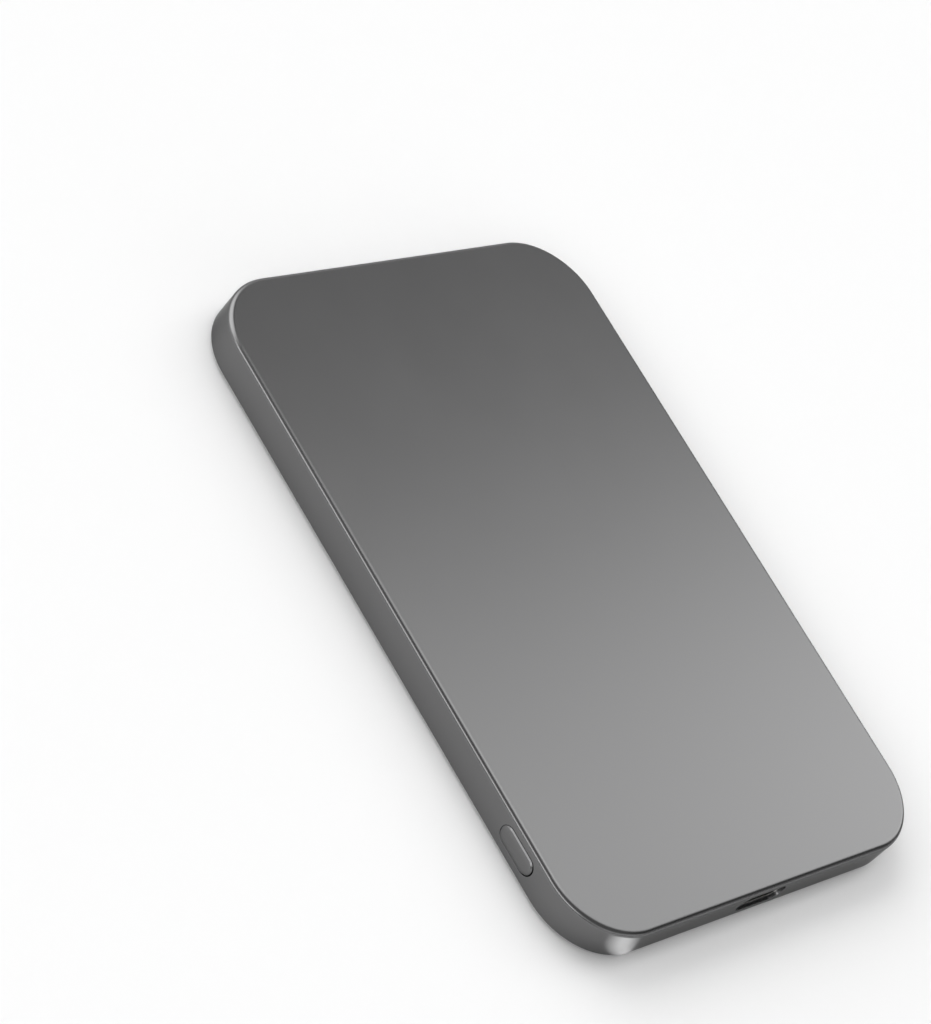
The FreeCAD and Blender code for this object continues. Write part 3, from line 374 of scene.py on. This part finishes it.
# Charging socket: a drawn steel sleeve, its front lip just rounded, soldered to the board by four legs.
# A moulded black tongue closes it at the back and carries two rows of gilt contacts.
sleeve_wall = 0.3
sleeve_lip = 0.04
leg_thick = 0.25
leg_width = 1.1
leg_pitch = 3.2
leg_from_edge = 0.1
sleeve = slot_bar(
    "socket_sleeve", "Y",
    Vector((-sleeve_half.x, sleeve_low.y, sleeve_mid_z - sleeve_half.z)),
    Vector((sleeve_half.x, sleeve_high.y, sleeve_mid_z + sleeve_half.z)),
)
bore_half = sleeve_half - Vector((sleeve_wall, 0, sleeve_wall))
bore = slot_bar(
    "sleeve_bore", "Y",
    Vector((-bore_half.x, sleeve_low.y - overrun, sleeve_mid_z - bore_half.z)),
    Vector((bore_half.x, sleeve_high.y + overrun, sleeve_mid_z + bore_half.z)),
)
join_solid(sleeve, bore, "DIFFERENCE")
take(sleeve, "EDGE", lambda at: at.y < sleeve_low.y + hair)
round_off(sleeve_lip, segments=3)
for row in range(2):
    for side in (-1, 1):
        near, far = sorted((side * (sleeve_half.x - sleeve_wall / 2), side * sleeve_high.x))
        foot = board_low.y + leg_from_edge + row * leg_pitch
        leg_low = (near, foot, board_high.z)
        leg_high = (far, foot + leg_width, board_high.z + leg_thick)
        join_solid(sleeve, rough_block("leg", leg_low, leg_high), "UNION")
finish_mesh(sleeve)
sleeve.data.materials.append(grained(
    "nickel_plated_steel", (0.46, 0.45, 0.44), 0.24,
    metallic=1.0, grain=0.0003, depth=0.000002, shift=0.06,
))
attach(sleeve, "case")
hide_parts("socket_shell")

tongue_half = Vector((3.345, 0, 0.35))
tongue_base = 1.2
tongue_corner = 0.4
tongue_nose = 0.5
tongue_edge = 0.12
tongue = rough_block(
    "socket_tongue_blade",
    Vector((-tongue_half.x, tongue_low.y, sleeve_mid_z - tongue_half.z)),
    Vector((tongue_half.x, tongue_high.y - tongue_base / 2, sleeve_mid_z + tongue_half.z)),
)
take(tongue, "EDGE", lambda at: at.y < tongue_low.y + hair, upright=True)
round_off(tongue_corner, segments=8)
take(tongue, "EDGE", lambda at: at.y < tongue_low.y + tongue_nose, upright=False)
round_off(tongue_edge, segments=3)
base = slot_bar(
    "tongue_base", "Y",
    Vector((tongue_low.x, tongue_high.y - tongue_base, tongue_low.z)), tongue_high,
)
join_solid(tongue, base, "UNION")
finish_mesh(tongue)
tongue.data.materials.append(grained(
    "black_socket_plastic", (0.02, 0.02, 0.02), 0.45, grain=0.0002, shift=0.1
))
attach(tongue, "case")
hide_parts("socket_tongue")
dress(["socket_contacts"], grained(
    "gilt_contacts", (0.83, 0.62, 0.28), 0.22, metallic=1.0, grain=0.00005, depth=0.000001
))

# Side switch: a moulded nylon body soldered flat on the board behind the button, with a sliding plunger
# that carries the button's push to a metal dome inside.
dress(["switch_body", "switch_plunger"], grained(
    "heat_proof_nylon", (0.1, 0.1, 0.1), 0.48, grain=0.0003, depth=0.000003, shift=0.1
))

# Chips and transistors: silicon sealed in moulded black epoxy, with a fine matt skin from the mould.
# They are soldered to the board by pads on their undersides.
transistors = [name for name in nodes if name.startswith("bridge_transistor_")]
dress(["charge_chip", "driver_chip"] + transistors, grained(
    "moulded_epoxy", (0.05, 0.05, 0.05), 0.5, grain=0.00015, depth=0.000003, patch=0.004, shift=0.1
))

# Resonance capacitors: fired blocks of layered ceramic with tinned ends, stood on edge in a row and
# soldered by those ends.
tinned_end = 0.5
tin_grey = (0.62, 0.61, 0.59, 1)
ceramic = grained(
    "fired_ceramic", (0.55, 0.43, 0.3), 0.45, grain=0.0002, depth=0.000003, patch=0.002, shift=0.06
)
tree = ceramic.node_tree
block_low, block_high = corners_mm("resonance_capacitor_1")
along = tree.nodes.new("ShaderNodeSeparateXYZ")
from_middle = tree.nodes.new("ShaderNodeMath")
from_middle.operation = "COMPARE"
from_middle.inputs[1].default_value = (block_low.y + block_high.y) / 2 * to_metres
from_middle.inputs[2].default_value = ((block_high.y - block_low.y) / 2 - tinned_end) * to_metres
tin = tree.nodes.new("ShaderNodeMix")
tin.data_type = "RGBA"
tin.inputs["A"].default_value = tin_grey
plated = tree.nodes.new("ShaderNodeMath")
plated.operation = "SUBTRACT"
plated.inputs[0].default_value = 1.0
tree.links.new(tree.nodes["Texture Coordinate"].outputs["Object"], along.inputs["Vector"])
tree.links.new(along.outputs["Y"], from_middle.inputs[0])
tree.links.new(from_middle.outputs[0], tin.inputs["Factor"])
tree.links.new(tree.nodes["tone"].outputs["Result"], tin.inputs["B"])
tree.links.new(tin.outputs["Result"], tree.nodes["Principled BSDF"].inputs["Base Color"])
tree.links.new(from_middle.outputs[0], plated.inputs[1])
tree.links.new(plated.outputs[0], tree.nodes["Principled BSDF"].inputs["Metallic"])
dress([name for name in nodes if name.startswith("resonance_capacitor_")], ceramic)

# Power inductor and ferrite disc: iron oxide powder, pressed and fired, dull grey-black and a little
# coarse. The block is soldered to the board; the disc backs the coil and is glued to it.
dress(["power_inductor", "ferrite_disc"], grained(
    "pressed_ferrite", (0.12, 0.12, 0.13), 0.6, grain=0.0005, depth=0.00001, patch=0.006, shift=0.08
))

# Board screws: two small pan-head screws of zinc-plated steel, each with a pressed cross in its head.
# They go through the board into the frame's bosses and hold it flat.
dress(["board_screw_1", "board_screw_2"], grained(
    "zinc_plated_steel", (0.5, 0.5, 0.51), 0.3,
    metallic=1.0, grain=0.0001, depth=0.000002, patch=0.002,
))

# Battery cell: a flat lithium pouch of aluminium foil laminate, sealed all round and a little creased.
# Two strips of foam tape hold it to the shell's face.
dress(["battery_cell"], grained(
    "foil_laminate", (0.7, 0.7, 0.71), 0.34,
    metallic=1.0, grain=0.004, depth=0.00006, patch=0.03, shift=0.06,
))
dress(["battery_tape_1", "battery_tape_2"], grained(
    "black_foam_tape", (0.05, 0.05, 0.05), 0.85, grain=0.0004, depth=0.00003, shift=0.1
))

# Battery tabs: two strips of slit nickel, welded to the cell inside its pouch. They are bent over the
# board's edge and soldered to its pads.
dress(["battery_tab_plus", "battery_tab_minus"], grained(
    "nickel_strip", (0.68, 0.67, 0.64), 0.28,
    metallic=1.0, grain=0.0002, depth=0.000002, patch=0.003,
))

# Heat spreader: a sheet of rolled graphite laid between the cell and the coil, with the dull metallic
# sheen and soft creases of foil.
dress(["heat_spreader"], grained(
    "rolled_graphite", (0.1, 0.1, 0.11), 0.42,
    metallic=0.4, grain=0.002, depth=0.00002, patch=0.015, shift=0.08,
))

# Charging coil: enamelled copper wire wound flat in one spiral, turn against turn, and bonded to the
# ferrite disc. Its two ends run along the cover to the board.
coil_low, coil_high = corners_mm("charging_coil")
coil_mid = (coil_low + coil_high) / 2
wire_thick = coil_high.z - coil_low.z
coil_outer = (coil_high.x - coil_low.x - wire_thick) / 2
coil_inner = min(
    (place.co.xy * to_mm - coil_mid.xy).length for place in nodes["charging_coil"].data.vertices
) + wire_thick / 2
coil_turns = int((coil_outer - coil_inner) / wire_thick)
steps_per_turn = 120
winding = bpy.data.curves.new("charging_coil_winding", "CURVE")
winding.dimensions = "3D"
winding.bevel_depth = wire_thick / 2
winding.bevel_resolution = 4
winding.use_fill_caps = True
turn_line = winding.splines.new("POLY")
turn_line.points.add(coil_turns * steps_per_turn)
for step, place in enumerate(turn_line.points):
    share = step / (coil_turns * steps_per_turn)
    turned = 2 * math.pi * step / steps_per_turn - math.pi / 2
    radius = coil_outer - share * (coil_outer - coil_inner)
    place.co = (
        coil_mid.x + radius * math.cos(turned), coil_mid.y + radius * math.sin(turned), coil_mid.z, 1
    )
clear_bench()
coil = bpy.data.objects.new("charging_coil_winding", winding)
bpy.context.scene.collection.objects.link(coil)
bpy.context.view_layer.objects.active = coil
coil.select_set(True)
bpy.ops.object.convert(target="MESH")
coil = bpy.context.object
finish_mesh(coil)
enamelled_copper = grained(
    "enamelled_copper", (0.72, 0.38, 0.2), 0.26,
    metallic=1.0, grain=0.0004, depth=0.000004, patch=0.005,
)
coil.data.materials.append(enamelled_copper)
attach(coil, "case")
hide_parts("charging_coil")
dress(["coil_lead_1", "coil_lead_2"], enamelled_copper)

# Ring magnets: sixteen pressed and sintered magnet blocks, nickel plated, glued side by side into the
# cover's groove; three more stand in line below the ring and keep the bank upright.
dress([name for name in nodes if "_magnet_" in name], grained(
    "nickel_plated_magnet", (0.66, 0.66, 0.67), 0.24,
    metallic=1.0, grain=0.00025, depth=0.000002, patch=0.004,
))

# Ring yoke: a flat ring cut from cold-rolled steel strip, laid on the magnets so that their pull goes
# out through the cover.
dress(["ring_yoke"], grained(
    "cold_rolled_steel", (0.5, 0.5, 0.51), 0.36,
    metallic=1.0, grain=0.0005, depth=0.000003, patch=0.01,
))

# Rear cover: a dark moulding of filled polycarbonate with a fine matt grain, set into the shell's foot
# so that a shadow gap runs round it. Hooks and a die-cut bond ring hold it.
dress(["cover_adhesive"], grained(
    "bond_ring_foam", (0.05, 0.05, 0.05), 0.8, grain=0.0003, depth=0.00001, shift=0.1
))
dress(["rear_cover"], grained(
    "matt_cover_plastic", (0.07, 0.07, 0.075), 0.58,
    grain=0.00035, depth=0.000012, patch=0.02, shift=0.06,
))

# Floor: a plain pale sheet that the bank lies on and that takes its shadow. Where it is seen, straight
# on or mirrored in the metal, it is lifted a little towards white.
floor_span = 6
floor_tone = 0.93
floor_lift = 0.02
clear_bench()
bpy.ops.mesh.primitive_plane_add(size=floor_span)
floor = bpy.context.object
floor.name = "floor"
pale = bpy.data.materials.new("pale_floor")
pale.use_nodes = True
sheet = pale.node_tree.nodes["Principled BSDF"]
sheet.inputs["Base Color"].default_value = (floor_tone, floor_tone, floor_tone, 1)
sheet.inputs["Roughness"].default_value = 0.9
sheet.inputs["Specular IOR Level"].default_value = 0.0
sheet.inputs["Emission Color"].default_value = (1, 1, 1, 1)
seen = pale.node_tree.nodes.new("ShaderNodeLightPath")
lift = None
for ray in ("Is Camera Ray", "Is Glossy Ray", "Is Transmission Ray"):
    step = pale.node_tree.nodes.new("ShaderNodeMath")
    step.operation = "MULTIPLY_ADD"
    step.inputs[1].default_value = floor_lift
    step.inputs[2].default_value = 0.0
    pale.node_tree.links.new(seen.outputs[ray], step.inputs[0])
    if lift:
        pale.node_tree.links.new(lift.outputs[0], step.inputs[2])
    lift = step
pale.node_tree.links.new(lift.outputs[0], sheet.inputs["Emission Strength"])
floor.data.materials.append(pale)

# Studio light: a dim room with soft bright panels. One grades the face, one runs along the left wall
# and draws its long edge, two stand behind, and fills keep the other sides grey. A dark flag in front
# draws the line between the face and the socket's wall.
world = bpy.data.worlds.new("studio")
bpy.context.scene.world = world
world.use_nodes = True
sky = world.node_tree
looking = sky.nodes.new("ShaderNodeTexCoord")


def ramp(axis, start, end, first, last):
    """Brightness that goes softly from first to last as a direction leans further along an axis."""
    lean = sky.nodes.new("ShaderNodeVectorMath")
    lean.operation = "DOT_PRODUCT"
    lean.inputs[1].default_value = Vector(axis).normalized()
    sky.links.new(looking.outputs["Generated"], lean.inputs[0])
    soft = sky.nodes.new("ShaderNodeMapRange")
    soft.interpolation_type = "SMOOTHSTEP"
    soft.inputs["From Min"].default_value = start
    soft.inputs["From Max"].default_value = end
    soft.inputs["To Min"].default_value = first
    soft.inputs["To Max"].default_value = last
    sky.links.new(lean.outputs["Value"], soft.inputs["Value"])
    return soft.outputs["Result"]


def blend(operation, *parts):
    """Add or multiply several brightnesses."""
    result = parts[0]
    for part in parts[1:]:
        step = sky.nodes.new("ShaderNodeMath")
        step.operation = operation
        sky.links.new(result, step.inputs[0])
        sky.links.new(part, step.inputs[1])
        result = step.outputs[0]
    return result


zenith = (0, 0, 1)
band_across = (-0.04, 0.965, -0.259)
strip_across = (0.303, 0.953, 0)
overhead = ramp(zenith, 0.0, 0.35, 0.18, 0.28)
front_fill = blend(
    "MULTIPLY", ramp((0.35, -0.93, 0.1), 0.45, 0.85, 0.0, 0.9),
    ramp(zenith, 0.04, 0.2, 0.0, 1.0), ramp(zenith, 0.6, 0.3, 0.0, 1.0),
)
front_flag = ramp((0.73, -0.511, 0.454), 0.915, 0.985, 1.0, 0.2)
side_fill = ramp((-0.69, 0.69, 0.2), 0.86, 0.98, 0.0, 0.6)
face_band = blend(
    "MULTIPLY",
    ramp(band_across, -0.47, -0.02, 0.0, 3.8), ramp(band_across, 0.12, 0.0, 0.0, 1.0),
    ramp((1, 0, 0), -0.26, 0.12, 0.0, 1.0), ramp(zenith, 0.2, 0.45, 0.0, 1.0),
    ramp((0.68, 0.1, 0.73), 0.975, 0.997, 1.0, 0.35),
    ramp(zenith, 0.7, 0.92, 1.0, 0.65),
)
left_strip = blend(
    "MULTIPLY", ramp((-1, 0, 0), 0.2, 0.5, 0.0, 2.7),
    ramp(strip_across, -0.95, -0.65, 0.0, 1.0), ramp(strip_across, 0.45, 0.2, 0.0, 1.0),
    ramp(zenith, 0.12, 0.35, 0.0, 1.0), ramp(zenith, 0.64, 0.42, 0.0, 1.0),
)
far_edge = ramp((0.68, 0.7, 0.22), 0.88, 0.98, 0.0, 0.8)
back_light = ramp((-0.1, 0.9, 0.42), 0.76, 0.95, 0.0, 2.6)
room_light = blend(
    "ADD", blend("MULTIPLY", blend("ADD", overhead, front_fill), front_flag),
    face_band, left_strip, far_edge, back_light, side_fill,
)
sky.nodes["Background"].inputs["Color"].default_value = (1, 1, 1, 1)
sky.links.new(room_light, sky.nodes["Background"].inputs["Strength"])

# Small lit cards, one inside the other, lie on the floor before the near corner, out of the camera's
# sight, and put the soft bright patch on the corner's wall.
card_glow = 0.5
card_widths = (0.0085, 0.007, 0.0055, 0.004, 0.0025)
card_length = 0.007
card_gap = 0.00008
card_place = Vector((-0.0246, -0.0541, 0))
watts_per_area = 4
for layer, card_width in enumerate(card_widths, 1):
    card = bpy.data.lights.new("corner_card", "AREA")
    card.shape = "ELLIPSE"
    card.size, card.size_y = card_width, card_length
    card.energy = watts_per_area * card_glow * (math.pi / 4) * card.size * card.size_y
    card_stand = bpy.data.objects.new("corner_card", card)
    bpy.context.scene.collection.objects.link(card_stand)
    card_stand.location = card_place + Vector((0, 0, card_gap * layer))
    card_stand.rotation_euler = (math.pi, 0, 0)
    card_stand.visible_camera = False

# Camera: a long lens that looks down on the left wall and the socket's end, tilted as in the photograph.
# Colours are shown as they are, with no film look.
view = bpy.data.cameras.new("view")
view.sensor_width = 36
view.lens = 123.54
camera = bpy.data.objects.new("camera", view)
bpy.context.scene.collection.objects.link(camera)
camera_place = Vector((-0.33837, -0.12830, 0.30018))
right = (0.6911, -0.4901, 0.5313)
up = (0.1532, 0.8176, 0.5550)
back = (-0.7064, -0.3022, 0.6401)
camera_turn = Matrix((right, up, back)).transposed().to_quaternion()
camera.matrix_world = Matrix.LocRotScale(camera_place, camera_turn, None)
view.clip_start = 0.01
bpy.context.scene.camera = camera
bpy.context.scene.view_settings.view_transform = "Standard"
